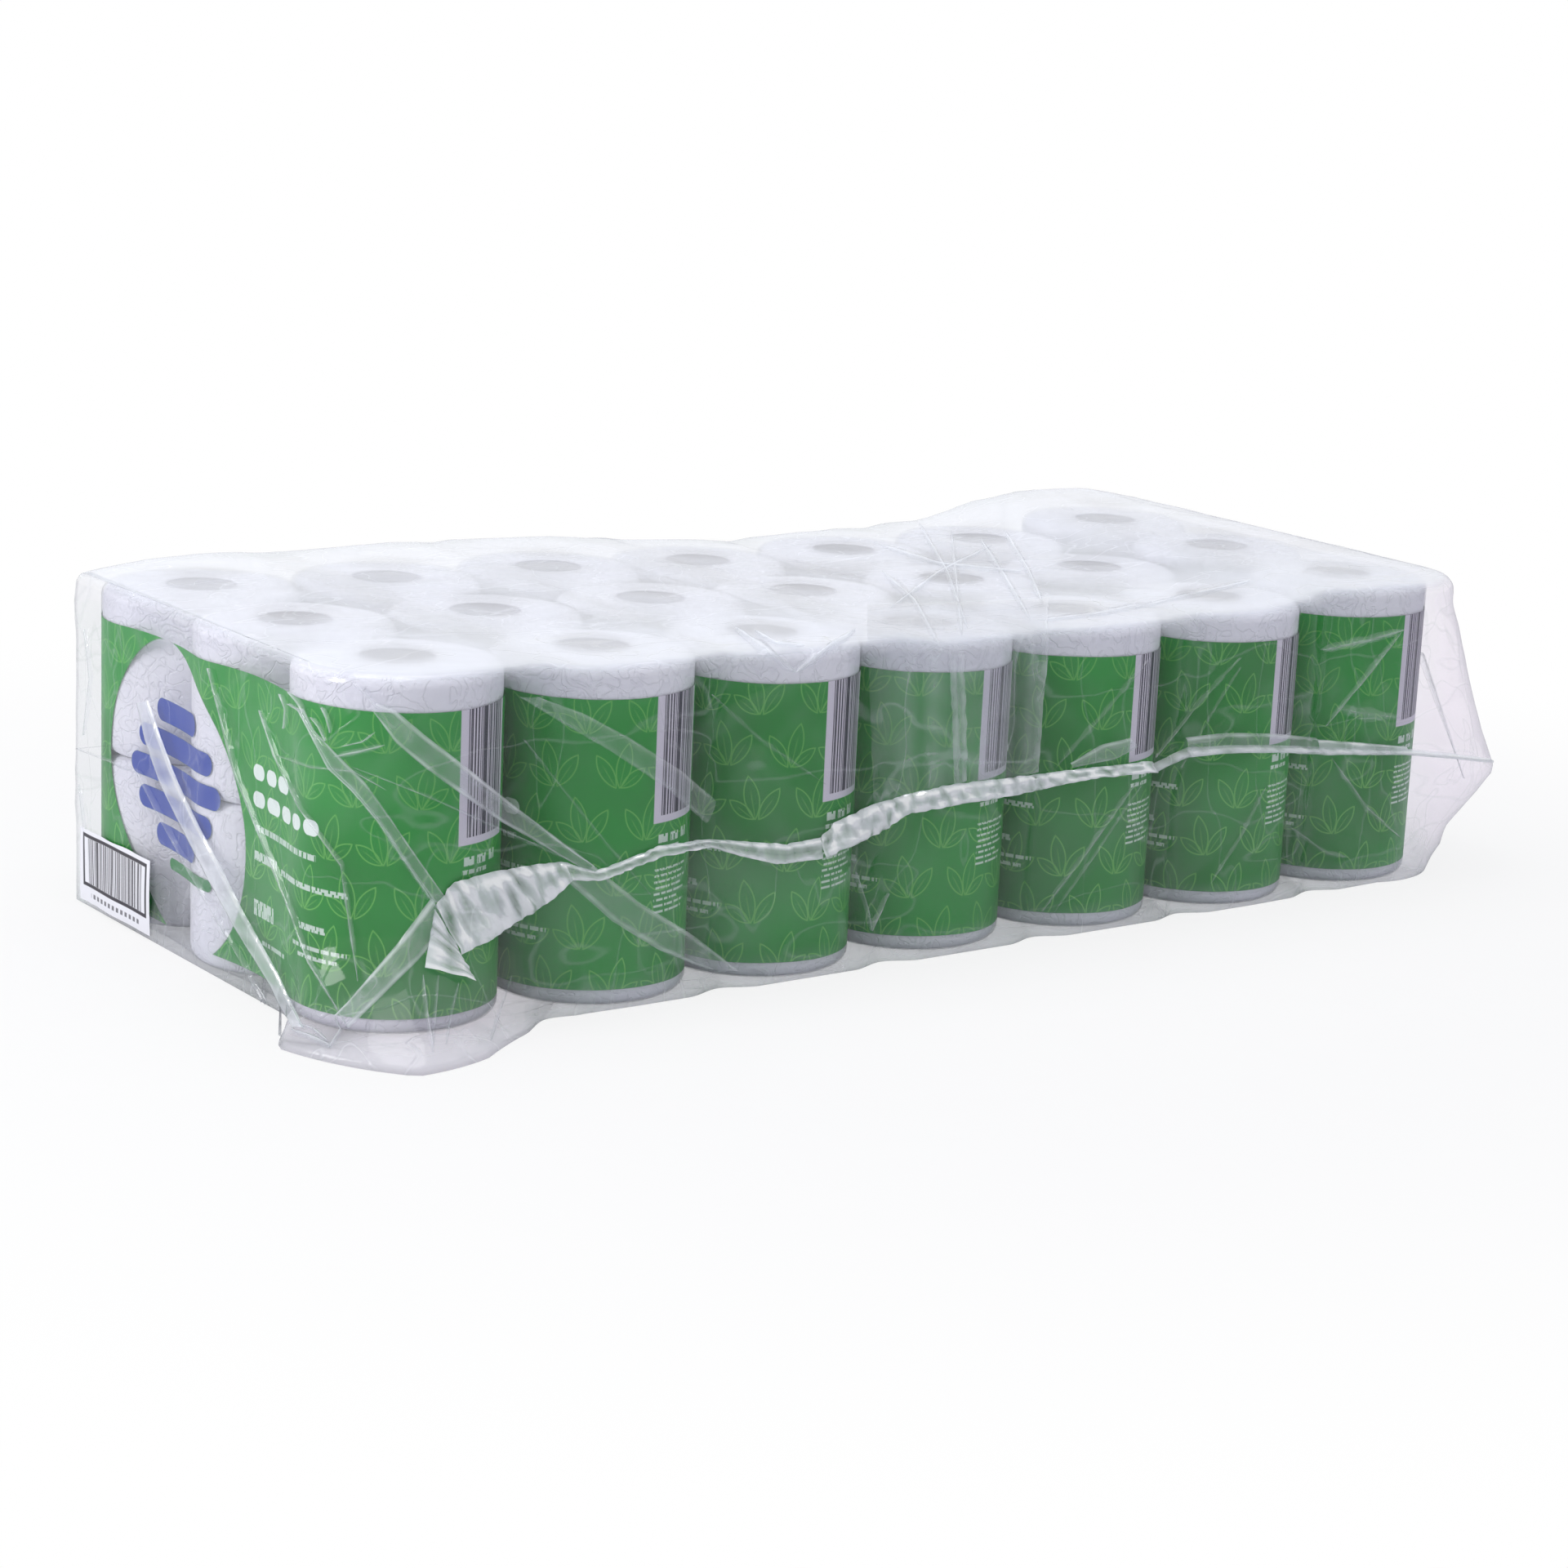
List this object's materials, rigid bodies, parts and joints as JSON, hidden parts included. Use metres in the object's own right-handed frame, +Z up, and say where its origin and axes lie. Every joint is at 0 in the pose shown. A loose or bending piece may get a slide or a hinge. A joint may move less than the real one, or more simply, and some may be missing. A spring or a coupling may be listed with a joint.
{
  "type": "toilet paper roll pack",
  "caption": "Long bale of toilet paper rolls in green printed packs, wrapped together in loose creased clear film.",
  "frame": {"origin": "middle of the base of the box round the bale, on the floor", "axes": "+X along the row of packs, from the labelled left end to the loose right end; +Y from the front with the welded fin to the back; +Z up"},
  "size_m": [0.9066, 0.4008, 0.2055],
  "materials": {
    "paper": "soft embossed tissue",
    "core_board": "matte grey board",
    "printed_film": "thin film with green print and clear margins",
    "clear_film": "clear creased film",
    "label_paper": "coated sticker with dark bars"
  },
  "bodies": {
    "root": {"roll_p1_front_lower": "paper", "roll_p1_front_upper": "paper", "roll_p1_middle_lower": "paper", "roll_p1_middle_upper": "paper", "roll_p1_back_lower": "paper", "roll_p1_back_upper": "paper", "cores_pack_1": "core_board", "inner_wrap_1": "printed_film", "roll_p2_front_lower": "paper", "roll_p2_front_upper": "paper", "roll_p2_middle_lower": "paper", "roll_p2_middle_upper": "paper", "roll_p2_back_lower": "paper", "roll_p2_back_upper": "paper", "cores_pack_2": "core_board", "inner_wrap_2": "printed_film", "roll_p3_front_lower": "paper", "roll_p3_front_upper": "paper", "roll_p3_middle_lower": "paper", "roll_p3_middle_upper": "paper", "roll_p3_back_lower": "paper", "roll_p3_back_upper": "paper", "cores_pack_3": "core_board", "inner_wrap_3": "printed_film", "roll_p4_front_lower": "paper", "roll_p4_front_upper": "paper", "roll_p4_middle_lower": "paper", "roll_p4_middle_upper": "paper", "roll_p4_back_lower": "paper", "roll_p4_back_upper": "paper", "cores_pack_4": "core_board", "inner_wrap_4": "printed_film", "roll_p5_front_lower": "paper", "roll_p5_front_upper": "paper", "roll_p5_middle_lower": "paper", "roll_p5_middle_upper": "paper", "roll_p5_back_lower": "paper", "roll_p5_back_upper": "paper", "cores_pack_5": "core_board", "inner_wrap_5": "printed_film", "roll_p6_front_lower": "paper", "roll_p6_front_upper": "paper", "roll_p6_middle_lower": "paper", "roll_p6_middle_upper": "paper", "roll_p6_back_lower": "paper", "roll_p6_back_upper": "paper", "cores_pack_6": "core_board", "inner_wrap_6": "printed_film", "roll_p7_front_lower": "paper", "roll_p7_front_upper": "paper", "roll_p7_middle_lower": "paper", "roll_p7_middle_upper": "paper", "roll_p7_back_lower": "paper", "roll_p7_back_upper": "paper", "cores_pack_7": "core_board", "inner_wrap_7": "printed_film", "outer_film": "clear_film", "barcode_label": "label_paper"}
  },
  "joints": []
}
